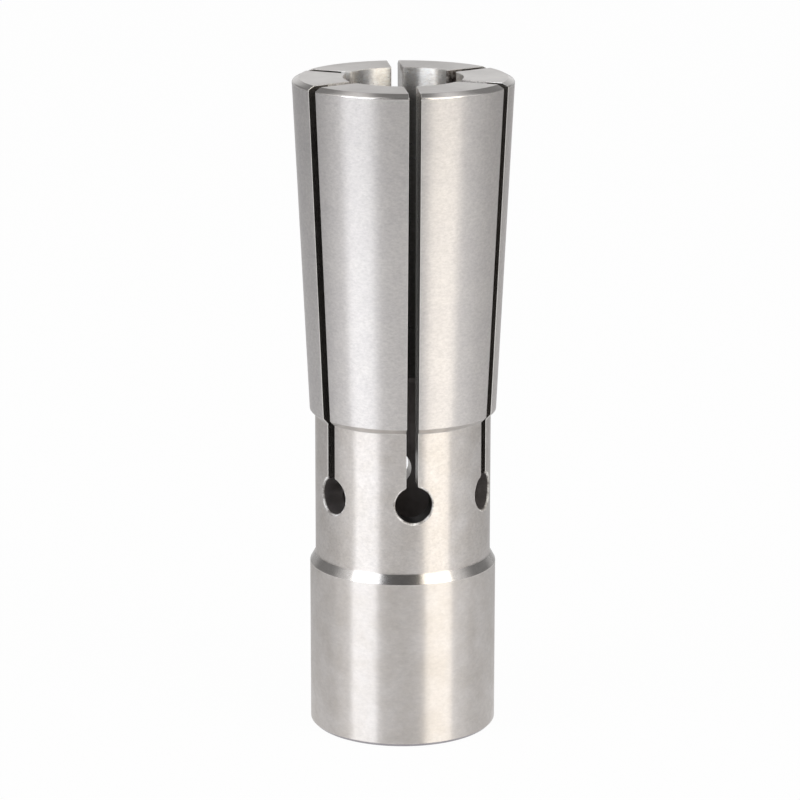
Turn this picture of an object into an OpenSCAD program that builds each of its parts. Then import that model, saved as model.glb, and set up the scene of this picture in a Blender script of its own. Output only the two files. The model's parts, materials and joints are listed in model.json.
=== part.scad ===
// Slim spring collet that a bolt draws back into its chuck.
// It is one piece of spring steel: turned, bored, drilled, sawn into six jaws and ground.
// It stands on its base face. The origin is the middle of that face, and the jaws point up.
// One saw cut faces -Y.

/* [Overall] */
// Length from the base face to the clamping face
overall_length = 56; // [50:0.5:66]

/* [Head] */
// Diameter of the ground taper just under the front chamfer
taper_large_dia = 18.53; // [17.2:0.01:22]
// Diameter of the ground taper at its foot
taper_small_dia = 15.81; // [15.3:0.01:17]
// Length of the head, from the clamping face down to the foot of the taper
head_length = 28.26; // [22:0.01:30]
// Width of the front chamfer across the clamping face
front_chamfer_width = 0.57; // [0.3:0.01:1.2]
// Depth of the front chamfer along the axis
front_chamfer_depth = 0.39; // [0.3:0.01:1.2]
// Radius that runs the front chamfer into the taper
front_blend_radius = 0.2; // [0.05:0.01:0.35]

/* [Neck] */
// Diameter of the springy neck
neck_dia = 14.91; // [13.6:0.01:15.2]
// Angle of the back of the head to the neck
head_back_angle = 45; // [30:1:60]

/* [Base] */
// Diameter of the base, which the chuck guides
base_dia = 15.85; // [15.3:0.01:18]
// Height of the straight wall of the base
base_height = 14.35; // [12:0.05:17]
// Height of the sloping shoulder above the base
shoulder_height = 0.84; // [0.6:0.01:2]
// Radius at the root of the shoulder
shoulder_root_radius = 0.3; // [0.05:0.01:0.5]
// Chamfer round the foot of the base
base_chamfer = 0.28; // [0.1:0.01:0.8]

/* [Bore] */
// Diameter of the bore that grips the tool shank
clamp_bore_dia = 10; // [6:0.1:10.4]
// Length of that bore, down from the clamping face
clamp_bore_length = 27; // [20:0.5:32]
// Small chamfer at the mouth of that bore
bore_mouth_chamfer = 0.1; // [0.05:0.05:0.5]
// Diameter of the wider hole behind it, which thins the neck
relief_bore_dia = 11; // [10.6:0.1:11.6]

/* [Draw thread] */
// Outer diameter of the thread that the draw bolt fits
thread_dia = 12; // [11.8:0.1:13]
// Diameter of the hole that the thread is cut in
thread_core_dia = 10.5; // [10:0.1:11]
// Distance from the base face to the end of the thread
thread_length = 11.4; // [8:0.1:11.4]
// Width of the groove that the thread runs out into
runout_groove_width = 1.6; // [0.8:0.1:2]
// How much wider than the thread that groove and the thread's mouth are, on the radius
thread_end_clearance = 0.1; // [0.05:0.05:0.3]

/* [Jaws] */
// How many saw cuts divide the head into jaws
slot_count = 6; // [3:1:8]
// Width of each saw cut
slot_width = 0.96; // [0.5:0.01:2]
// Diameter of the drilled hole that ends each saw cut
hole_dia = 3.1; // [2.2:0.05:4]
// Height of those holes above the base face
hole_height = 21.1; // [18:0.1:24]
// Angle that the holes lie round from the saw cuts, as the real drilling does
hole_lead_angle = 1.2; // [-2:0.1:2]

/* [Hidden] */
$fn = 96;
// How far a cutting shape runs past the surface that it cuts
over = 1;

base_r = base_dia / 2;
neck_r = neck_dia / 2;
taper_small_r = taper_small_dia / 2;
taper_large_r = taper_large_dia / 2;
clamp_r = clamp_bore_dia / 2;
relief_r = relief_bore_dia / 2;
core_r = thread_core_dia / 2;
// The groove and the mouth of the thread are a little wider than the thread
thread_end_r = thread_dia / 2 + thread_end_clearance;

taper_foot_z = overall_length - head_length;
clamp_bore_z = overall_length - clamp_bore_length;
groove_end_z = thread_length + runout_groove_width;

// Corners of the outside, from the foot up
shoulder_rim = [base_r, base_height];
shoulder_root = [neck_r, base_height + shoulder_height];
neck_top = [neck_r, taper_foot_z - (taper_small_r - neck_r) * tan(head_back_angle)];
taper_foot = [taper_small_r, taper_foot_z];
taper_top = [taper_large_r, overall_length - front_chamfer_depth];
face_rim = [taper_large_r - front_chamfer_width, overall_length];

function unit(v) = v / norm(v);
function half_angle(before, corner, after) = acos(unit(before - corner) * unit(after - corner)) / 2;
// Where a blend of this radius starts on the side of the corner that leads to side
function blend_start(corner, side, other, radius) =
    corner + unit(side - corner) * radius / tan(half_angle(side, corner, other));
function blend_centre(before, corner, after, radius) =
    corner + unit(unit(before - corner) + unit(after - corner)) * radius
        / sin(half_angle(before, corner, after));

// The tip that a blend takes off an outer corner
module corner_tip(before, corner, after, radius) {
    centre = blend_centre(before, corner, after, radius);
    difference() {
        polygon([
            corner,
            blend_start(corner, before, after, radius),
            centre,
            blend_start(corner, after, before, radius),
        ]);
        translate(centre)
            circle(r = radius);
    }
}

// Half of the outside: base, shoulder, neck, taper and front chamfer
module outside_profile() {
    difference() {
        polygon([
            [0, 0],
            [base_r - base_chamfer, 0],
            [base_r, base_chamfer],
            shoulder_rim,
            blend_start(shoulder_root, shoulder_rim, neck_top, shoulder_root_radius),
            blend_start(shoulder_root, neck_top, shoulder_rim, shoulder_root_radius),
            neck_top,
            taper_foot,
            taper_top,
            face_rim,
            [0, overall_length],
        ]);
        translate(blend_centre(shoulder_rim, shoulder_root, neck_top, shoulder_root_radius))
            circle(r = shoulder_root_radius);
        corner_tip(taper_foot, taper_top, face_rim, front_blend_radius);
    }
}

// Half of the hole right through: thread core and its groove, relief and clamping bore
module bore_profile() {
    polygon([
        [0, -over],
        [thread_end_r + over, -over],
        [core_r, thread_end_r - core_r],
        [core_r, thread_length],
        [thread_end_r, thread_length + thread_end_r - core_r],
        [thread_end_r, groove_end_z],
        [relief_r, groove_end_z + thread_end_r - relief_r],
        [relief_r, clamp_bore_z - (relief_r - clamp_r)],
        [clamp_r, clamp_bore_z],
        [clamp_r, overall_length - bore_mouth_chamfer],
        [clamp_r + bore_mouth_chamfer + over, overall_length + over],
        [0, overall_length + over],
    ]);
}

// One saw cut, from the bore out through the wall and from the hole up through the face
module saw_cut() {
    inner = clamp_r - over;
    outer = taper_large_r + over;
    translate([-slot_width / 2, -outer, hole_height])
        cube([slot_width, outer - inner, overall_length - hole_height + over]);
}

// One drilled hole, from the bore out through the neck
module relief_hole() {
    inner = relief_r - over;
    outer = neck_r + over;
    translate([0, -inner, hole_height])
        rotate([90, 0, 0])
            cylinder(d = hole_dia, h = outer - inner);
}

module collet() {
    color([0.74, 0.73, 0.71])
        difference() {
            rotate_extrude()
                outside_profile();
            rotate_extrude()
                bore_profile();
            for (i = [0 : slot_count - 1])
                rotate(i * 360 / slot_count) {
                    saw_cut();
                    rotate(hole_lead_angle)
                        relief_hole();
                }
        }
}

collet();
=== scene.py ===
import json
from math import acos, atan2, cos, hypot, pi, radians, sin, sqrt, tan

import bpy
from mathutils import Matrix, Quaternion, Vector


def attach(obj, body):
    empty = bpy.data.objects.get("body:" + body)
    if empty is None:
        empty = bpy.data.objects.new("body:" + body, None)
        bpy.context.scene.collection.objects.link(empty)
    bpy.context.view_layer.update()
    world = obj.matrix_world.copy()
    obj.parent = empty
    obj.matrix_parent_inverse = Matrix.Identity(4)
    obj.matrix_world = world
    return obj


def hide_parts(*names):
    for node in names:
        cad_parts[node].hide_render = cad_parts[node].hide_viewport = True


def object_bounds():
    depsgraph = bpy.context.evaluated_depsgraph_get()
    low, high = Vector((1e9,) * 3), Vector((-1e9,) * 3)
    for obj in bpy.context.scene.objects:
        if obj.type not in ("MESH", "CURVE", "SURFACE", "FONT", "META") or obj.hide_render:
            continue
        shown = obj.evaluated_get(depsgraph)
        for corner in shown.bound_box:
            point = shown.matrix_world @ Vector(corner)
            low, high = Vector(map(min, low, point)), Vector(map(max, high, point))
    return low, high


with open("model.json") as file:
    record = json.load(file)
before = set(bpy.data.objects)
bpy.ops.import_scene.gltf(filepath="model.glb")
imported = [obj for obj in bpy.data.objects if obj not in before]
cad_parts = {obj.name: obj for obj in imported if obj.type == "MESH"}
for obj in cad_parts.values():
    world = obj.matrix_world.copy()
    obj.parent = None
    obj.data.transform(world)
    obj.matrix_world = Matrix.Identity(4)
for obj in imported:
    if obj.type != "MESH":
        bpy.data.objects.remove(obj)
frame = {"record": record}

cad_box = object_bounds()

# The turned blank
# A slim collet is one piece of spring steel, turned and bored from bar. This is the lathe's part of it: base,
# shoulder, neck, taper and the stepped hole right through. It is modelled in millimetres.

METRES_PER_MM = 0.001
mount = {m["name"]: m for m in frame["record"]["mounts"]}
CLAMP_BORE_R = mount["tool_bore"]["dims"]["r_mm"]
CLAMP_BORE_LENGTH = 27.0
THREAD_CORE_R = mount["draw_thread"]["dims"]["r_mm"]
BASE_R = mount["base_guide"]["dims"]["r_mm"]
COLLET_LENGTH = (cad_box[1].z - cad_box[0].z) / METRES_PER_MM

BASE_CHAMFER = 0.28
BASE_HEIGHT = 14.35
SHOULDER_HEIGHT = 0.84
NECK_R = 7.455
HEAD_LENGTH = 28.26
TAPER_SMALL_R = 7.905
TAPER_LARGE_R = 9.264
TAPER_FOOT_Z = COLLET_LENGTH - HEAD_LENGTH
# The back of the head slopes at 45 degrees
NECK_TOP_Z = TAPER_FOOT_Z - (TAPER_SMALL_R - NECK_R)
FRONT_CHAMFER_WIDTH = 0.57
FRONT_CHAMFER_DEPTH = 0.30
RELIEF_R = 5.5
CLAMP_BORE_Z = COLLET_LENGTH - CLAMP_BORE_LENGTH
THREAD_MAJOR_R = 6.0
THREAD_LENGTH = 11.4
THREAD_END_CLEARANCE = 0.1
THREAD_END_R = THREAD_MAJOR_R + THREAD_END_CLEARANCE
GROOVE_WIDTH = 1.6
GROOVE_END_Z = THREAD_LENGTH + GROOVE_WIDTH

# How round the turned corners are: most of them, the sharpest, and those that differ
CORNER_R = 0.1
SHARP_CORNER_R = 0.05
FOOT_CORNER_R = 0.06
SHOULDER_ROOT_R = 0.3
NECK_TOP_ROOT_R = 0.12
FRONT_CORNER_R = 0.2
GROOVE_CORNER_R = 0.15

# With 144 columns no column line runs along an edge of a saw cut
COLUMNS = 144
# About how far one facet of a rounded corner turns to the next, and the fewest facets of a corner
ARC_STEP = radians(18)
MIN_ARC_STEPS = 2
# Points nearer each other than this are one point
SAME_POINT = 1e-4


def rounded(corners):
    """The closed outline through corners of (radius, height, blend radius), with each blend as an arc."""
    points = []
    for i, (r, z, blend) in enumerate(corners):
        corner = Vector((r, z))
        before = (Vector(corners[i - 1][:2]) - corner).normalized()
        after = (Vector(corners[(i + 1) % len(corners)][:2]) - corner).normalized()
        half = acos(before.dot(after)) / 2
        centre = corner + (before + after).normalized() * blend / sin(half)
        x, y = corner + before * blend / tan(half) - centre
        sweep = (pi - 2 * half) * (-1 if before.cross(after) > 0 else 1)
        steps = max(MIN_ARC_STEPS, round(abs(sweep) / ARC_STEP))
        for k in range(steps + 1):
            a = sweep * k / steps
            points.append(centre + Vector((x * cos(a) - y * sin(a), x * sin(a) + y * cos(a))))
    return points


def turn_on_lathe(name, outline):
    """A solid of revolution: one point is extruded along the outline, and the outline is spun round Z."""
    bpy.ops.object.select_all(action="DESELECT")
    bpy.ops.mesh.primitive_plane_add(size=1)
    turned = bpy.context.object
    turned.name = name
    bpy.ops.object.mode_set(mode="EDIT")
    bpy.ops.mesh.merge(type="CENTER")
    start = outline[0]
    bpy.ops.transform.translate(value=(start.x, 0, start.y))
    for a, b in zip(outline, outline[1:] + [start]):
        bpy.ops.mesh.extrude_vertices_move(TRANSFORM_OT_translate={"value": (b.x - a.x, 0, b.y - a.y)})
    bpy.ops.mesh.select_all(action="SELECT")
    bpy.ops.mesh.remove_doubles(threshold=SAME_POINT)
    bpy.ops.mesh.spin(steps=COLUMNS, angle=2 * pi, center=(0, 0, 0), axis=(0, 0, 1))
    bpy.ops.mesh.select_all(action="SELECT")
    bpy.ops.mesh.remove_doubles(threshold=SAME_POINT)
    bpy.ops.mesh.normals_make_consistent(inside=False)
    bpy.ops.object.mode_set(mode="OBJECT")
    return turned


collet = turn_on_lathe("spring_collet", rounded([
    (THREAD_END_R, 0, SHARP_CORNER_R),
    (BASE_R - BASE_CHAMFER, 0, FOOT_CORNER_R),
    (BASE_R, BASE_CHAMFER, CORNER_R),
    (BASE_R, BASE_HEIGHT, CORNER_R),
    (NECK_R, BASE_HEIGHT + SHOULDER_HEIGHT, SHOULDER_ROOT_R),
    (NECK_R, NECK_TOP_Z, NECK_TOP_ROOT_R),
    (TAPER_SMALL_R, TAPER_FOOT_Z, CORNER_R),
    (TAPER_LARGE_R, COLLET_LENGTH - FRONT_CHAMFER_DEPTH, FRONT_CORNER_R),
    (TAPER_LARGE_R - FRONT_CHAMFER_WIDTH, COLLET_LENGTH, CORNER_R),
    (CLAMP_BORE_R, COLLET_LENGTH, 0),
    (CLAMP_BORE_R, CLAMP_BORE_Z, CORNER_R),
    (RELIEF_R, CLAMP_BORE_Z - (RELIEF_R - CLAMP_BORE_R), CORNER_R),
    (RELIEF_R, GROOVE_END_Z + THREAD_END_R - RELIEF_R, CORNER_R),
    (THREAD_END_R, GROOVE_END_Z, GROOVE_CORNER_R),
    (THREAD_END_R, THREAD_LENGTH + THREAD_END_R - THREAD_CORE_R, GROOVE_CORNER_R),
    (THREAD_CORE_R, THREAD_LENGTH, SHARP_CORNER_R),
    (THREAD_CORE_R, THREAD_END_R - THREAD_CORE_R, SHARP_CORNER_R),
]))

# The finishes
# All are the same bare spring steel, and differ in how the tool left it; some also carry painted shade or
# painted light in their colour. A turned or ground surface has fine grooves round the axis, so each lamp
# shows on it as a tall band with sharp sides.

METRES_PER_MICRON = 1e-6
# The marks of the tools are 0.01 to 0.03 mm apart, and a pixel of the render is about 0.085 mm, so they would
# not show. They are drawn this many times as coarse as they are.
DRAWN_COARSER = 20
# The real size in mm of grinding lines along X, Y and Z
GRINDING_LINES = (0.025, 0.025, 0.015)
# How many finer layers the patterns have, and how strong those are in the marks and in the stains
NOISE_DETAIL = 4.0
MARKS_FINENESS = 0.75
STAINS_FINENESS = 0.6
# Between which levels of the stain pattern the colour turns into the stain's, and the roughness varies
STAIN_LEVELS = (0.35, 0.65)
ROUGHNESS_LEVELS = (0.3, 0.7)
ROUGHNESS_VARIES = 0.02
# The height in mm from which the roughness of the taper changes
DULLING_FOOT_Z = 30.0
# The inputs of a Map Range node: the two ends of the range, and what it gives at each
SPAN = ("From_Min", "From_Max", "To_Min", "To_Max")


def linear(colour):
    """An sRGB hex colour as linear red, green, blue and alpha."""
    parts = [int(colour[i:i + 2], 16) / 255 for i in (1, 3, 5)]
    return [c / 12.92 if c <= 0.04045 else ((c + 0.055) / 1.055) ** 2.4 for c in parts] + [1]


def add(tree, kind, settings=None, **inputs):
    """Adds a node, sets its properties, and gives its inputs, by name or as _number, values or links."""
    node = tree.nodes.new(kind)
    for name, value in (settings or {}).items():
        setattr(node, name, value)
    for key, value in inputs.items():
        socket = node.inputs[int(key[1:])] if key[1:].isdigit() else node.inputs[key.replace("_", " ")]
        if isinstance(value, bpy.types.NodeSocket):
            tree.links.new(value, socket)
        else:
            socket.default_value = value
    return node


def steel(name, colour, stain, roughness, anisotropy=0.0, marks=GRINDING_LINES, coarser=DRAWN_COARSER,
          grain=0.3, depth=0.4, metallic=1.0, stain_size=2.2, rough_top=None, darkening=None):
    """Bare steel, with soft stains of a second colour, which are stain_size mm across.

    marks is the real size in mm of the tool's marks along X, Y and Z, and coarser is how many times as coarse
    they are drawn. grain is how much they change the colour, and depth is how deep they are, in microns.
    anisotropy, up to 1, is how far the grooves round the axis draw out a highlight. Where rough_top is given,
    the roughness runs to it at the front of the collet. darkening is two heights in mm and a share: the
    colour has that share of its brightness at the first height, and all of it at the second. The bore uses it
    as painted shade below its mouth.
    """
    material = bpy.data.materials.new(name)
    material.use_nodes = True
    tree = material.node_tree
    shader = tree.nodes["Principled BSDF"]
    shader.inputs["Metallic"].default_value = metallic
    shader.inputs["Anisotropic"].default_value = anisotropy
    place = add(tree, "ShaderNodeTexCoord")
    xyz = add(tree, "ShaderNodeSeparateXYZ", Vector=place.outputs["Object"])
    if anisotropy:
        # The tangent runs across the grooves, which go round the axis
        left = add(tree, "ShaderNodeMath", {"operation": "MULTIPLY"}, _0=xyz.outputs["Y"], _1=-1.0)
        along = add(tree, "ShaderNodeCombineXYZ", X=left.outputs[0], Y=xyz.outputs["X"])
        across = add(tree, "ShaderNodeVectorMath", {"operation": "CROSS_PRODUCT"},
                     _0=place.outputs["Normal"], _1=along.outputs[0])
        tree.links.new(across.outputs[0], shader.inputs["Tangent"])
    stretched = add(tree, "ShaderNodeVectorMath", {"operation": "MULTIPLY"}, _0=place.outputs["Object"],
                    _1=[1 / (size * coarser * METRES_PER_MM) for size in marks])
    lines = add(tree, "ShaderNodeTexNoise", Vector=stretched.outputs[0], Scale=1.0,
                Detail=NOISE_DETAIL, Roughness=MARKS_FINENESS)
    clouds = add(tree, "ShaderNodeTexNoise", Vector=place.outputs["Object"],
                 Scale=1 / (stain_size * METRES_PER_MM), Detail=NOISE_DETAIL, Roughness=STAINS_FINENESS)
    stained = add(tree, "ShaderNodeMapRange", Value=clouds.outputs["Fac"], **dict(zip(SPAN, STAIN_LEVELS)))
    mixed = add(tree, "ShaderNodeMix", {"data_type": "RGBA"}, _0=stained.outputs[0],
                _6=linear(colour), _7=linear(stain))
    tone = add(tree, "ShaderNodeMath", {"operation": "MULTIPLY_ADD"}, _0=lines.outputs["Fac"],
               _1=grain, _2=1 - grain / 2)
    # The colour darkens past a height: painted shade deep in the bore, a plain darkening towards the front of
    # the taper
    if darkening:
        dark_z, full_z, share = darkening
        darken_span = (dark_z * METRES_PER_MM, full_z * METRES_PER_MM, share, 1.0)
        darken = add(tree, "ShaderNodeMapRange", Value=xyz.outputs["Z"], **dict(zip(SPAN, darken_span)))
        tone = add(tree, "ShaderNodeMath", {"operation": "MULTIPLY"}, _0=tone.outputs[0], _1=darken.outputs[0])
    shade = add(tree, "ShaderNodeVectorMath", {"operation": "SCALE"}, _0=mixed.outputs[2],
                Scale=tone.outputs[0])
    tree.links.new(shade.outputs[0], shader.inputs["Base Color"])
    if rough_top is None:
        rough_span = (*ROUGHNESS_LEVELS, roughness - ROUGHNESS_VARIES, roughness + ROUGHNESS_VARIES)
        rough = add(tree, "ShaderNodeMapRange", Value=clouds.outputs["Fac"], **dict(zip(SPAN, rough_span)))
    else:
        rough_span = (DULLING_FOOT_Z * METRES_PER_MM, COLLET_LENGTH * METRES_PER_MM, roughness, rough_top)
        rough = add(tree, "ShaderNodeMapRange", Value=xyz.outputs["Z"], **dict(zip(SPAN, rough_span)))
    tree.links.new(rough.outputs[0], shader.inputs["Roughness"])
    bump = add(tree, "ShaderNodeBump", Strength=1.0, Distance=depth * METRES_PER_MICRON,
               Height=lines.outputs["Fac"])
    tree.links.new(bump.outputs[0], shader.inputs["Normal"])
    return material


finishes = {
    # The cylinder of the base is finely ground: tall bright and dark bands with sharp sides, almost smooth
    "turned": steel("ground cylinder steel", "#DFDAD7", "#D9D3CE", roughness=0.37, anisotropy=1.0,
                    grain=0.35, depth=0.7),
    # The neck is ground less finely: the same bands, with a faint streaky mottle in them
    "neck": steel("ground neck steel", "#DFDAD7", "#D9D3CE", roughness=0.37, anisotropy=1.0,
                  marks=(0.0175, 0.0175, 0.0125), grain=0.55, depth=1.5),
    # The chamfer round the foot is a plain grey line: its darker colour is a painted reflection of the shadow
    # at the collet's foot
    "foot": steel("foot chamfer steel with painted shade", "#A5A1A6", "#98949A", roughness=0.35),
    # The taper is ground: wide soft bands with a mottle, rougher and a little darker towards the front
    "taper": steel("ground taper steel", "#E4E0DE", "#DEDAD9", roughness=0.43, anisotropy=1.0,
                   marks=(0.0175, 0.0175, 0.01), grain=0.55, depth=5.0, metallic=0.82, rough_top=0.50,
                   darkening=(53.0, 43.0, 0.94)),
    # The slope at the back of the head is turned and no more, and its grey is darkened as painted shade under
    # the
    # head: a calm grey ring between two bright walls
    "undercut": steel("turned undercut steel with painted shade", "#CECAC7", "#C0BCB9", roughness=0.35),
    # The front chamfer is polished: nearly a mirror, in hard steps of light and dark
    "chamfer": steel("polished chamfer steel", "#D8D4D1", "#CFCBC8", roughness=0.15, grain=0.15),
    # The shoulder is polished over its turning marks: a mirror whose patches have slightly ragged edges
    "shoulder": steel("polished shoulder steel", "#D0CCC9", "#C5C1BE", roughness=0.18, grain=0.4, depth=3.0),
    # The ends are faced, with rings round the axis: a pale satin that fans out a little from the middle
    "faced": steel("faced end steel", "#DAD6D3", "#D3CFCC", roughness=0.30, anisotropy=0.6,
                   marks=(0.03, 0.03, 0.03), grain=0.2),
    # The bore is ground: bright flecked streaks at its mouth. Below the mouth its colour is darkened as
    # painted shade, so the streaks soon go dark
    "bore": steel("ground bore steel", "#FEFCFA", "#F2EEE9", roughness=0.29, anisotropy=1.0,
                  marks=(0.02, 0.02, 0.008), grain=1.0, depth=10.0, stain_size=0.4,
                  darkening=(53.4, 54.5, 0.25)),
    # The wider hole behind the bore is bored and no more: a dull grey that stays dim behind the cuts
    "relief": steel("bored relief steel", "#98918F", "#868080", roughness=0.5, metallic=0.7),
    # The walls of the cuts are sawn: grey with the saw's marks, and almost black deep inside a cut
    "sawn": steel("sawn steel", "#9A9591", "#807B77", roughness=0.23, marks=(0.02, 0.02, 0.03), grain=0.6,
                  depth=2.0, metallic=0.88),
    # The walls of the far cut are a lighter copy of the sawn finish, as painted light: a pale line through
    # the bore
    "far sawn painted light": steel("far cut steel with painted light", "#DCD8D4", "#C8C3BF", roughness=0.23, marks=(0.02, 0.02, 0.03),
                      grain=0.6, depth=2.0),
    # The front hole is drilled like the others, but its colour is nearly black as painted shade, with a dim
    # sheen
    "front drilled painted dark": steel("front hole steel with painted shade", "#302D2C", "#262324", roughness=0.45),
    # The walls of the other holes are plainly drilled: a mid grey, dim in their own shade
    "drilled": steel("drilled steel", "#958F8F", "#807A7A", roughness=0.45, metallic=0.8),
    # The far hole is drilled smoother, and its colour is lighter as painted light: a small light patch that
    # shows through the front cut
    "far drilled painted light": steel("far hole steel with painted light", "#B0ABA7", "#8A8582", roughness=0.2),
    # The broken edges are burnished: thin bright lines along the cuts
    "edge": steel("burnished edge steel", "#E4E1DE", "#D6D3D0", roughness=0.25),
    # The corners of the jaws are rubbed with a stone: white with dark flecks, drawn at their real size
    "stoned": steel("stoned corner steel", "#F4F1EE", "#BEB9B6", roughness=0.50, marks=(0.2, 0.2, 0.2),
                    coarser=1, grain=1.6, depth=50.0, metallic=0.8),
    # The corners at one cut are bruised and stained: brown-black specks in grey, drawn at their real size
    "bruised": steel("bruised corner steel", "#A8A29D", "#3C2E2C", roughness=0.45, marks=(0.2, 0.2, 0.2),
                     coarser=1, grain=1.4, depth=40.0, metallic=0.8, stain_size=0.35),
    # The drill has torn the rims of the holes: a pale ragged ring, with its flecks drawn at their real size
    # The same pale finish on the front corners of the cuts, below the chamfer, is a painted highlight
    "rim": steel("torn hole rim steel and painted corner highlight", "#F8F6F4", "#8E8884", roughness=0.50, marks=(0.25, 0.25, 0.25),
                 coarser=1, grain=1.5, depth=50.0, metallic=0.35, stain_size=0.6),
    # The thread is tapped: a dull grey, with a glint on each flank
    "thread": steel("tapped steel", "#9A948F", "#8A8480", roughness=0.35),
}
order = list(finishes)

# Points further out than this are on the outside of the collet
OUTER_WALL_R = RELIEF_R + 1
# How far a finish reaches over the blends beside it: the faced ends, the front chamfer and the shoulder, and
# the slope at the back of the head, which starts below its root and stops short of its rim
FACED_REACH = 0.05
BLEND_REACH = 0.1
# Below the root the undercut's darker grey reaches onto the neck as painted shade under the head
UNDERCUT_BELOW_ROOT = 0.15
UNDERCUT_SHORT_OF_RIM = 0.04


def finish_at(middle):
    """The finish at a point of the blank."""
    r, z = hypot(middle.x, middle.y), middle.z
    if z < FACED_REACH or z > COLLET_LENGTH - FACED_REACH:
        return "faced"
    if r > OUTER_WALL_R:
        if z > COLLET_LENGTH - FRONT_CHAMFER_DEPTH - BLEND_REACH:
            return "chamfer"
        if BASE_HEIGHT - BLEND_REACH < z < BASE_HEIGHT + SHOULDER_HEIGHT - BLEND_REACH:
            return "shoulder"
        if NECK_TOP_Z - UNDERCUT_BELOW_ROOT < z < TAPER_FOOT_Z - UNDERCUT_SHORT_OF_RIM:
            return "undercut"
        if z < BASE_CHAMFER:
            return "foot"
        if z < BASE_HEIGHT:
            return "turned"
        return "taper" if z > NECK_TOP_Z else "neck"
    if z > CLAMP_BORE_Z:
        return "bore"
    return "relief" if z > GROOVE_END_Z else "thread"


for material in finishes.values():
    collet.data.materials.append(material)
for face in collet.data.polygons:
    face.material_index = order.index(finish_at(face.center))


def pick(piece):
    """Selects one piece alone and makes it the active one."""
    bpy.ops.object.select_all(action="DESELECT")
    piece.select_set(True)
    bpy.context.view_layer.objects.active = piece


def apply_modifier(piece, modifier):
    """Makes what a modifier does to a piece part of its mesh."""
    pick(piece)
    bpy.ops.object.modifier_apply(modifier=modifier.name)


def weigh_normals(piece):
    """Makes wide faces look flat up to their rounded edges."""
    walls = piece.modifiers.new("true walls", "WEIGHTED_NORMAL")
    walls.keep_sharp = True
    apply_modifier(piece, walls)


# A copy of the blank keeps the true normals of its surfaces for the end. Edges that turn more than this
# stay sharp.
BLANK_SMOOTH_ANGLE = radians(30)
pick(collet)
bpy.ops.object.shade_smooth_by_angle(angle=BLANK_SMOOTH_ANGLE)
bpy.ops.object.duplicate()
blank = bpy.context.object
weigh_normals(blank)

# The saw cuts and their holes
# Six holes are drilled through the neck, and a saw cuts down from the front into each, which makes the
# jaws. The holes lie a little round from the cuts.

SLOT_COUNT = 6
SLOT_WIDTH = 0.96
HOLE_R = 1.55
HOLE_Z = 21.1
HOLE_FACETS = 40
# The rows of six values below start at the front cut and go round by the right. Two of the cuts have names.
RIGHT_BACK = 2
FAR = 3
# How far round from its cut and how high each hole lies. The far one was drilled lower.
HOLE_LEADS = [radians(a) for a in (1.2, 1.2, 1.2, 2.6, 1.2, 1.2)]
HOLE_LIFTS = (0, 0, 0, -0.25, 0, 0)
# The front hole's finish is a painted-shade copy and the far hole's a painted-light copy of the drilled
# finish
HOLE_FINISHES = ("front drilled painted dark", "drilled", "drilled", "far drilled painted light", "drilled", "drilled")
# How round the inner corners of the jaws are at each cut. The far one was left almost sharp.
JAW_CORNER_RS = (0.4, 0.4, 0.25, 0.12, 0.25, 0.4)
JAW_CORNER_STEPS = 5
# How deep a stone rubbed the mouth of each cut bright, and how far out from the axis
MOUTH_DEPTHS = (0.5, 0.5, 1.1, 0.5, 0.7, 0.5)
MOUTH_RS = (7.3, 7.3, 6.4, 7.3, 5.9, 7.3)
# A face of the blade is part of a flare where its normal has more than this along both X and Y
FLARE_SLANT = 0.05
# How far a cutter reaches past the surface that it cuts
CUT_OVERRUN = 1.0


def cut(body, cutter, finish=None):
    """Takes the cutter's shape out of the body. The cut faces take the finish, or the cutter's own."""
    if finish:
        cutter.data.materials.append(finishes[finish])
    boolean = body.modifiers.new("cut", "BOOLEAN")
    boolean.operation = "DIFFERENCE"
    boolean.solver = "EXACT"
    boolean.material_mode = "TRANSFER"
    boolean.object = cutter
    apply_modifier(body, boolean)
    bpy.data.objects.remove(cutter)


def joined_round(make, leads, lifts):
    """One cutter for each cut, turned round the axis and lifted, all joined in one mesh."""
    cutters = []
    for i in range(SLOT_COUNT):
        cutter = make(i)
        cutter.data.transform(Matrix.Rotation(leads[i] + i * 2 * pi / SLOT_COUNT, 4, "Z"))
        cutter.data.transform(Matrix.Translation((0, 0, lifts[i])))
        cutters.append(cutter)
    bpy.ops.object.select_all(action="DESELECT")
    for cutter in cutters:
        cutter.select_set(True)
    bpy.context.view_layer.objects.active = cutters[0]
    bpy.ops.object.join()
    return cutters[0]


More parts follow.
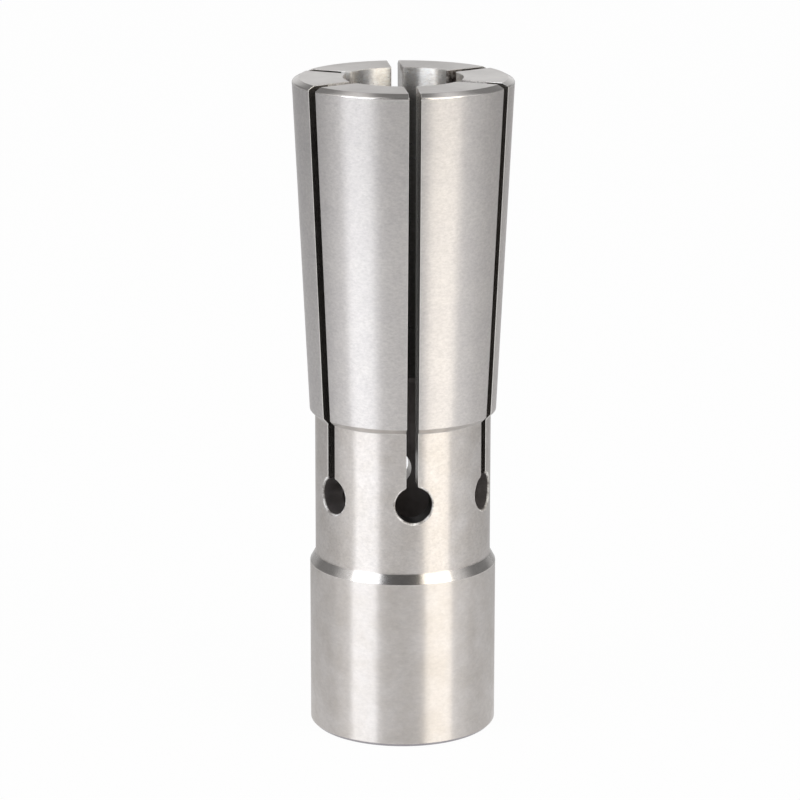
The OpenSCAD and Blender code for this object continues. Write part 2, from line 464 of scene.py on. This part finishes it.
def saw_blade(i):
    """A blade as wide as the cut. At the bore it flares, which rounds the inner corners of the jaws. Its
    walls are divided where a stone rubbed the mouth of the cut."""
    corner_r, mouth_depth, mouth_r = JAW_CORNER_RS[i], MOUTH_DEPTHS[i], MOUTH_RS[i]
    flare_u = SLOT_WIDTH / 2 + corner_r
    flare_v = sqrt((CLAMP_BORE_R + corner_r) ** 2 - flare_u ** 2)
    end_angle = atan2(flare_v, flare_u)
    arc = [(flare_u - corner_r * cos(a), flare_v - corner_r * sin(a))
           for a in (end_angle * k / JAW_CORNER_STEPS for k in range(JAW_CORNER_STEPS + 1))]
    side = [(SLOT_WIDTH / 2, TAPER_LARGE_R + CUT_OVERRUN), (SLOT_WIDTH / 2, mouth_r)]
    side += arc + [(arc[-1][0], CLAMP_BORE_R - CUT_OVERRUN)]
    around = side + [(-u, v) for u, v in reversed(side)]
    bpy.ops.mesh.primitive_circle_add(vertices=len(around), radius=1, fill_type="NGON")
    blade = bpy.context.object
    for v, (x, y) in zip(blade.data.vertices, around):
        v.co = (x, -y, HOLE_Z)
    bpy.ops.object.mode_set(mode="EDIT")
    for rise in (COLLET_LENGTH - mouth_depth - HOLE_Z, mouth_depth + CUT_OVERRUN):
        bpy.ops.mesh.extrude_region_move(TRANSFORM_OT_translate={"value": (0, 0, rise)})
    bpy.ops.mesh.select_all(action="SELECT")
    bpy.ops.mesh.normals_make_consistent(inside=False)
    bpy.ops.object.mode_set(mode="OBJECT")
    for name in ("far sawn painted light" if i == FAR else "sawn", "bruised" if i == RIGHT_BACK else "stoned"):
        blade.data.materials.append(finishes[name])
    for face in blade.data.polygons:
        out = -face.center.y
        flared = out < flare_v and abs(face.normal.x) > FLARE_SLANT and abs(face.normal.y) > FLARE_SLANT
        mouth = out < mouth_r and face.center.z > COLLET_LENGTH - mouth_depth
        face.material_index = 1 if flared or mouth else 0
    return blade


def drill(i):
    """A drill that goes from outside through one wall of the neck."""
    inner = RELIEF_R - CUT_OVERRUN
    outer = NECK_R + CUT_OVERRUN
    bpy.ops.mesh.primitive_cylinder_add(
        vertices=HOLE_FACETS,
        radius=HOLE_R,
        depth=outer - inner,
        location=(0, -(inner + outer) / 2, HOLE_Z),
        rotation=(radians(90), 0, 0),
    )
    bpy.ops.object.transform_apply(location=True, rotation=True, scale=True)
    bit = bpy.context.object
    bit.data.materials.append(finishes[HOLE_FINISHES[i]])
    return bit


cut(collet, joined_round(saw_blade, [0] * SLOT_COUNT, [0] * SLOT_COUNT))
cut(collet, joined_round(drill, HOLE_LEADS, HOLE_LIFTS))

# The broken edges
# The edges of the cuts are broken by hand on the outside and in the clamping face, so that none is sharp to
# touch. The drill has left a wider, torn rim round each hole.

SLOT_BREAK = 0.05
RIM_BREAK = 0.17
MIN_BREAK_ANGLE = radians(35)
# Points left by the cutters nearer each other than this are one point
CUT_SAME_POINT = 0.004
# How near a point lies to a surface that it is on, and how plumb and how long an edge of a column line is
ON_SURFACE = 0.01
PLUMB = 0.001
COLUMN_EDGE_MIN = 5.0
# How far past the hole its rim can reach, and how far past it no column line may run
RIM_REACH = 2 * RIM_BREAK
CLEAR_OF_COLUMNS = 1.5 * RIM_BREAK
# Points no further out than this past the wall of the wider hole count as inside the collet
INNER_SKIN = 0.3
# Where the pale rim finish is put on the front corners of the cuts as a painted highlight: how far in, and
# from where to where below the chamfer
HIGHLIGHT_CORNER_DEPTH = 0.4
HIGHLIGHT_CORNER_TOP = 0.1
HIGHLIGHT_CORNER_FOOT = 0.9


def azimuth_of_hole(i):
    """How far round from the front a hole lies."""
    return HOLE_LEADS[i] + i * 2 * pi / SLOT_COUNT


def from_hole(point):
    """How far a point lies from the axis of the nearest hole."""
    found = []
    for i in range(SLOT_COUNT):
        a = azimuth_of_hole(i)
        if point.x * sin(a) > point.y * cos(a):
            found.append(hypot(point.x * cos(a) + point.y * sin(a), point.z - HOLE_Z - HOLE_LIFTS[i]))
    return min(found)


def on_rim(point):
    """Whether a point lies on the outer rim of a hole."""
    return hypot(point.x, point.y) > OUTER_WALL_R and from_hole(point) < HOLE_R + RIM_REACH


def outside(point):
    """Whether a point lies clear of the collet's inner walls."""
    return hypot(point.x, point.y) > RELIEF_R + INNER_SKIN


def in_face(point):
    """Whether a point lies in the clamping face."""
    return point.z > COLLET_LENGTH - ON_SURFACE


# Column lines of the neck that would run under the rim of the far hole are dissolved
pick(collet)
bpy.ops.object.mode_set(mode="EDIT")
bpy.ops.mesh.select_all(action="SELECT")
bpy.ops.mesh.remove_doubles(threshold=CUT_SAME_POINT)
bpy.ops.mesh.select_mode(type="EDGE")
bpy.ops.mesh.select_all(action="DESELECT")
bpy.ops.object.mode_set(mode="OBJECT")
corners = collet.data.vertices
for edge in collet.data.edges:
    a, b = (corners[v].co for v in edge.vertices)
    on_neck = abs(hypot(a.x, a.y) - NECK_R) < ON_SURFACE
    on_column = hypot(a.x - b.x, a.y - b.y) < PLUMB and abs(a.z - b.z) > COLUMN_EDGE_MIN
    beside = (atan2(a.x, -a.y) - azimuth_of_hole(FAR) + pi) % (2 * pi) - pi
    under_rim = HOLE_R < abs(NECK_R * sin(beside)) < HOLE_R + CLEAR_OF_COLUMNS and cos(beside) > 0
    if on_neck and on_column and under_rim:
        edge.select = True
bpy.ops.object.mode_set(mode="EDIT")
bpy.ops.mesh.dissolve_edges(use_verts=False)

# Each sharp edge gets its share of the widest break. The edges inside the collet, below its face, get none.
bpy.ops.mesh.select_all(action="DESELECT")
bpy.ops.mesh.edges_select_sharp(sharpness=MIN_BREAK_ANGLE)
bpy.ops.transform.edge_bevelweight(value=SLOT_BREAK / RIM_BREAK)
bpy.ops.object.mode_set(mode="OBJECT")
weights = collet.data.attributes["bevel_weight_edge"].data
corners = collet.data.vertices
for edge in collet.data.edges:
    if weights[edge.index].value > 0:
        ends = [corners[v].co for v in edge.vertices]
        if all(on_rim(end) for end in ends):
            weights[edge.index].value = 1.0
        elif not all(outside(end) for end in ends) and not all(in_face(end) for end in ends):
            weights[edge.index].value = 0

bevel = collet.modifiers.new("broken edges", "BEVEL")
bevel.width = RIM_BREAK
bevel.segments = 2
bevel.limit_method = "WEIGHT"
bevel.use_clamp_overlap = False
bevel.material = order.index("edge")
apply_modifier(collet, bevel)
for face in collet.data.polygons:
    if face.material_index == order.index("edge"):
        r = hypot(face.center.x, face.center.y)
        below_chamfer = COLLET_LENGTH - FRONT_CHAMFER_DEPTH / 2 - face.center.z
        front_corner_highlight = HIGHLIGHT_CORNER_TOP < below_chamfer < HIGHLIGHT_CORNER_FOOT
        # The front corners of the cuts just below the chamfer get the pale rim finish as a painted highlight
        if on_rim(face.center) or front_corner_highlight and r > TAPER_LARGE_R - HIGHLIGHT_CORNER_DEPTH:
            face.material_index = order.index("rim")
        elif r < max(MOUTH_RS):
            face.material_index = order.index("stoned")

# The draw thread
# M12 x 1.5, tapped in the base for the bolt that draws the collet back. The tap runs out into the groove
# above it. Its flanks meet at 60 degrees.

THREAD_PITCH = 1.5
THREAD_TURNS = 9
FLANK_ANGLE = radians(60)
ROOT_FLAT = THREAD_PITCH / 8
# The tap's V starts this far inside the wall of the core hole
TAP_OVERRUN = 0.35
TAP_INNER_R = THREAD_CORE_R - TAP_OVERRUN


def tap():
    """The thread's V as one closed solid, which a screw sweeps up through the core hole."""
    half = ROOT_FLAT / 2 + (THREAD_MAJOR_R - TAP_INNER_R) * tan(FLANK_ANGLE / 2)
    bpy.ops.mesh.primitive_plane_add(size=1)
    swept = bpy.context.object
    section = [(TAP_INNER_R, -half), (THREAD_MAJOR_R, -ROOT_FLAT / 2),
               (TAP_INNER_R, half), (THREAD_MAJOR_R, ROOT_FLAT / 2)]
    for v, (r, z) in zip(swept.data.vertices, section):
        v.co = (r, 0, z - THREAD_PITCH)
    screw = swept.modifiers.new("screw", "SCREW")
    screw.screw_offset = THREAD_PITCH
    screw.iterations = THREAD_TURNS
    screw.steps = screw.render_steps = COLUMNS // 2
    apply_modifier(swept, screw)
    bpy.ops.object.mode_set(mode="EDIT")
    bpy.ops.mesh.select_mode(type="EDGE")
    bpy.ops.mesh.select_all(action="DESELECT")
    bpy.ops.mesh.select_non_manifold()
    bpy.ops.mesh.edge_face_add()
    bpy.ops.mesh.select_all(action="SELECT")
    bpy.ops.mesh.normals_make_consistent(inside=False)
    bpy.ops.object.mode_set(mode="OBJECT")
    return swept


cut(collet, tap(), "thread")

# The finished surface
# Grinding leaves the turned surfaces true up to their edges, so they get back the normals that the blank had
# before it was cut. The collet then goes into the frame, in metres, in place of the plain solid.

# Edges that turn more than this stay sharp
SMOOTH_ANGLE = radians(50)
# How near the blank's surface a corner has to lie to get its normal
NORMAL_REACH = 0.003

pick(collet)
bpy.ops.object.shade_smooth_by_angle(angle=SMOOTH_ANGLE)
weigh_normals(collet)
cut_finishes = {order.index(name) for name in ("sawn", "far sawn painted light", *HOLE_FINISHES)}
cut_faces = [face for face in collet.data.polygons if face.material_index in cut_finishes]
cut_corners = {v for face in cut_faces for v in face.vertices}
turned_corners = [v.index for v in collet.data.vertices
                  if outside(v.co) or v.co.z > GROOVE_END_Z and v.index not in cut_corners]
turned_group = collet.vertex_groups.new(name="turned surfaces")
turned_group.add(turned_corners, 1.0, "REPLACE")
transfer = collet.modifiers.new("true normals", "DATA_TRANSFER")
transfer.object = blank
transfer.use_loop_data = True
transfer.data_types_loops = {"CUSTOM_NORMAL"}
transfer.loop_mapping = "POLYINTERP_NEAREST"
transfer.use_max_distance = True
transfer.max_distance = NORMAL_REACH
transfer.vertex_group = turned_group.name
apply_modifier(collet, transfer)
collet.vertex_groups.clear()
collet.data.transform(Matrix.Scale(METRES_PER_MM, 4))
bpy.data.objects.remove(blank)

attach(collet, "root")
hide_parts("collet")

# The floor
# A round sheet of white paper, which the collet stands on. The camera sees it as white, with a trace of the
# collet's shadow. Steel mirrors its glow with painted shade: a painted shadow at the foot, and painted
# falloff to the sides, behind and far out.

FLOOR_R = 2.5
FLOOR_EDGES = 96
PAPER_WHITE = "#EDEDED"
# How much of what is seen of the sheet is a plain white glow
GLOW_SHARE = 0.97
# Two distances from the collet in metres, and how bright steel mirrors the sheet's glow at each: painted
# shade
FADE_ASIDE = (0.16, 0.40, 1.0, 0.5)
FADE_BEHIND = (0.0, 0.06, 1.0, 0.62)
PAINTED_FOOT_SHADOW = (0.02, 0.09, 0.88, 1.0)
FADE_FAR_OUT = (0.12, 0.17, 1.0, 0.75)

bpy.ops.mesh.primitive_circle_add(vertices=FLOOR_EDGES, radius=FLOOR_R, fill_type="NGON")
floor = bpy.context.object
floor.name = "studio_floor"
# Matt paper has no shine at all: an even white that takes a soft shadow
paper = bpy.data.materials.new("white paper")
paper.use_nodes = True
tree = paper.node_tree
shader = tree.nodes["Principled BSDF"]
shader.inputs["Base Color"].default_value = linear(PAPER_WHITE)
shader.inputs["Roughness"].default_value = 1
shader.inputs["Specular IOR Level"].default_value = 0
rays = add(tree, "ShaderNodeLightPath")
direct = add(tree, "ShaderNodeMath", {"operation": "ADD"}, _0=rays.outputs["Is Camera Ray"],
             _1=rays.outputs["Is Glossy Ray"])
seen = add(tree, "ShaderNodeMath", {"operation": "ADD"}, _0=direct.outputs[0],
           _1=rays.outputs["Is Transmission Ray"])
glowing = add(tree, "ShaderNodeMath", {"operation": "MULTIPLY"}, _0=seen.outputs[0], _1=GLOW_SHARE)
spot = add(tree, "ShaderNodeTexCoord")
away = add(tree, "ShaderNodeSeparateXYZ", Vector=spot.outputs["Object"])
reach = add(tree, "ShaderNodeVectorMath", {"operation": "LENGTH"}, _0=spot.outputs["Object"])
sideways = add(tree, "ShaderNodeMath", {"operation": "ABSOLUTE"}, _0=away.outputs["X"])
aside = add(tree, "ShaderNodeMapRange", Value=sideways.outputs[0], **dict(zip(SPAN, FADE_ASIDE)))
behind = add(tree, "ShaderNodeMapRange", Value=away.outputs["Y"], **dict(zip(SPAN, FADE_BEHIND)))
painted_foot_shadow = add(tree, "ShaderNodeMapRange", Value=reach.outputs["Value"], **dict(zip(SPAN, PAINTED_FOOT_SHADOW)))
far_out = add(tree, "ShaderNodeMapRange", Value=reach.outputs["Value"], **dict(zip(SPAN, FADE_FAR_OUT)))
# Painted shade in the glow that steel mirrors: darker to the sides, behind and far out, with a painted shadow
# at the foot
painted_fade = add(tree, "ShaderNodeMath", {"operation": "MINIMUM"}, _0=aside.outputs[0], _1=behind.outputs[0])
for dimmer in (painted_foot_shadow, far_out):
    painted_fade = add(tree, "ShaderNodeMath", {"operation": "MULTIPLY"}, _0=painted_fade.outputs[0], _1=dimmer.outputs[0])
bright = add(tree, "ShaderNodeMath", {"operation": "MAXIMUM"}, _0=painted_fade.outputs[0],
             _1=rays.outputs["Is Camera Ray"])
glow = add(tree, "ShaderNodeEmission", Strength=bright.outputs[0])
surface = add(tree, "ShaderNodeMixShader", _0=glowing.outputs[0], _1=shader.outputs[0], _2=glow.outputs[0])
tree.links.new(surface.outputs[0], tree.nodes["Material Output"].inputs["Surface"])
floor.data.materials.append(paper)

# The camera
# It stands where the outline of the collet in the photograph puts it: a little to the left of the front cut,
# looking slightly down through a long lens. Its lengths are in millimetres.

CAMERA_AZIMUTH = radians(-6)
CAMERA_ELEVATION = radians(14.29)
CAMERA_ROLL = radians(0.063)
CAMERA_DISTANCE = 306.9
CAMERA_AIM = Vector((-0.248, 0, 28.322))
CAMERA_LENS = 162.85
CAMERA_SENSOR = 36
CAMERA_CLIP_START = 10

towards_camera = Vector((0, -cos(CAMERA_ELEVATION), sin(CAMERA_ELEVATION)))
camera_place = (CAMERA_AIM + towards_camera * CAMERA_DISTANCE) * METRES_PER_MM
camera_data = bpy.data.cameras.new("camera")
camera_data.lens = CAMERA_LENS
camera_data.sensor_width = CAMERA_SENSOR
camera_data.clip_start = CAMERA_CLIP_START * METRES_PER_MM
camera = bpy.data.objects.new("camera", camera_data)
bpy.context.scene.collection.objects.link(camera)
camera.matrix_world = (
    Matrix.Rotation(CAMERA_AZIMUTH, 4, "Z")
    @ Matrix.Translation(camera_place)
    @ Matrix.Rotation(radians(90) - CAMERA_ELEVATION, 4, "X")
    @ Matrix.Rotation(CAMERA_ROLL, 4, "Z")
)
bpy.context.scene.camera = camera

# The lamps
# Two tall softboxes stand a metre from the collet, one on each side of the camera. The left one is a little
# cooler than the right one, and both lean back at the top.

LAMP_DISTANCE = 1.0
LAMP_FOOT = radians(-3)
LAMP_HEAD = radians(48)
LAMP_LEAN = radians(6)
# The point of the collet's axis that they face
LAMP_AIM = Vector((0, 0, 0.03))
# From where to where each reaches, in degrees round from the camera, its radiance and its colour
SOFTBOXES = (
    (-66.4, -33, 2.36, "#F6FAFF"),
    (29.6, 63.4, 2.42, "#FFF8EA"),
)

for first, last, radiance, tint in SOFTBOXES:
    azimuth = CAMERA_AZIMUTH + radians((first + last) / 2)
    lift = (LAMP_FOOT + LAMP_HEAD) / 2
    lamp = bpy.data.lights.new("softbox", "AREA")
    lamp.shape = "RECTANGLE"
    lamp.size = 2 * LAMP_DISTANCE * tan(radians((last - first) / 2))
    lamp.size_y = 2 * LAMP_DISTANCE * tan((LAMP_HEAD - LAMP_FOOT) / 2)
    lamp.energy = radiance * pi * lamp.size * lamp.size_y
    lamp.color = linear(tint)[:3]
    box = bpy.data.objects.new("softbox", lamp)
    bpy.context.scene.collection.objects.link(box)
    outwards = Vector((sin(azimuth) * cos(lift), -cos(azimuth) * cos(lift), sin(lift)))
    box.location = outwards * LAMP_DISTANCE + LAMP_AIM
    lean = LAMP_LEAN if first < 0 else -LAMP_LEAN
    box.rotation_euler = (outwards.to_track_quat("Z", "Y") @ Quaternion((0, 0, 1), lean)).to_euler()
    box.visible_camera = False

# The room
# Pale studio walls that light the collet softly: bright at its sides, dim behind it and behind the camera,
# with a lit backdrop, a low band of light and a ceiling. The camera sees plain white in place of them.

# Two parts of a direction's length, along Y away from the camera, and how bright the room is at each
FRONT_WALL = (-0.65, -0.42, 0.13, 0.95)
BACK_WALL = (-0.22, 0.22, 0.95, 0.26)
BACKDROP = (0.8, 1.0, 0.0, 0.56)
LOW_BAND = (-0.9, -0.5, 1.5, 0.5)
# The same along X to either side
CEILING = (0.12, 0.24, 0.24, 0.95)
# Between which parts along Z, upwards, the low band ends and the ceiling takes over from the walls
LOW_BAND_TOP = (0.05, 0.22)
CEILING_EDGE = (0.70, 0.86)
BACKGROUND_WHITE = "#FFFFFF"
SOFTLY = {"interpolation_type": "SMOOTHSTEP"}

world = bpy.data.worlds.new("studio")
bpy.context.scene.world = world
world.use_nodes = True
tree = world.node_tree
direction = add(tree, "ShaderNodeTexCoord")
from_camera = add(tree, "ShaderNodeVectorRotate", {"rotation_type": "Z_AXIS"},
                  Vector=direction.outputs["Generated"], Angle=-CAMERA_AZIMUTH)
xyz = add(tree, "ShaderNodeSeparateXYZ", Vector=from_camera.outputs[0])
rise = add(tree, "ShaderNodeMapRange", SOFTLY, Value=xyz.outputs["Y"], **dict(zip(SPAN, FRONT_WALL)))
fall = add(tree, "ShaderNodeMapRange", SOFTLY, Value=xyz.outputs["Y"], **dict(zip(SPAN, BACK_WALL)))
backdrop = add(tree, "ShaderNodeMapRange", SOFTLY, Value=xyz.outputs["Y"], **dict(zip(SPAN, BACKDROP)))
low_band = add(tree, "ShaderNodeMapRange", SOFTLY, Value=xyz.outputs["Y"], **dict(zip(SPAN, LOW_BAND)))
low = add(tree, "ShaderNodeMapRange", SOFTLY, Value=xyz.outputs["Z"],
          **dict(zip(SPAN, (*LOW_BAND_TOP, low_band.outputs[0], 0.0))))
sideways = add(tree, "ShaderNodeMath", {"operation": "ABSOLUTE"}, _0=xyz.outputs["X"])
ceiling = add(tree, "ShaderNodeMapRange", SOFTLY, Value=sideways.outputs[0], **dict(zip(SPAN, CEILING)))
upwards = add(tree, "ShaderNodeMapRange", SOFTLY, Value=xyz.outputs["Z"], **dict(zip(SPAN, CEILING_EDGE)))
walls = add(tree, "ShaderNodeMath", {"operation": "MINIMUM"}, _0=rise.outputs[0], _1=fall.outputs[0])
round_about = add(tree, "ShaderNodeMath", {"operation": "ADD"}, _0=walls.outputs[0], _1=backdrop.outputs[0])
lower_room = add(tree, "ShaderNodeMath", {"operation": "MAXIMUM"}, _0=round_about.outputs[0],
                 _1=low.outputs[0])
room = add(tree, "ShaderNodeMix", _0=upwards.outputs[0], _2=lower_room.outputs[0], _3=ceiling.outputs[0])
grey = add(tree, "ShaderNodeCombineColor", Red=room.outputs[0], Green=room.outputs[0], Blue=room.outputs[0])

# The camera sees white, and steel mirrors white below the horizon, past the edge of the floor
rays = add(tree, "ShaderNodeLightPath")
below = add(tree, "ShaderNodeMath", {"operation": "LESS_THAN"}, _0=xyz.outputs["Z"], _1=0.0)
mirrored = add(tree, "ShaderNodeMath", {"operation": "ADD"}, _0=rays.outputs["Is Glossy Ray"],
               _1=rays.outputs["Is Transmission Ray"])
white = add(tree, "ShaderNodeMath", {"operation": "MULTIPLY_ADD"}, _0=mirrored.outputs[0],
            _1=below.outputs[0], _2=rays.outputs["Is Camera Ray"])
seen = add(tree, "ShaderNodeMix", {"data_type": "RGBA"}, _0=white.outputs[0],
           _6=grey.outputs[0], _7=linear(BACKGROUND_WHITE))
tree.links.new(seen.outputs[2], tree.nodes["Background"].inputs["Color"])
bpy.context.scene.view_settings.view_transform = "Standard"
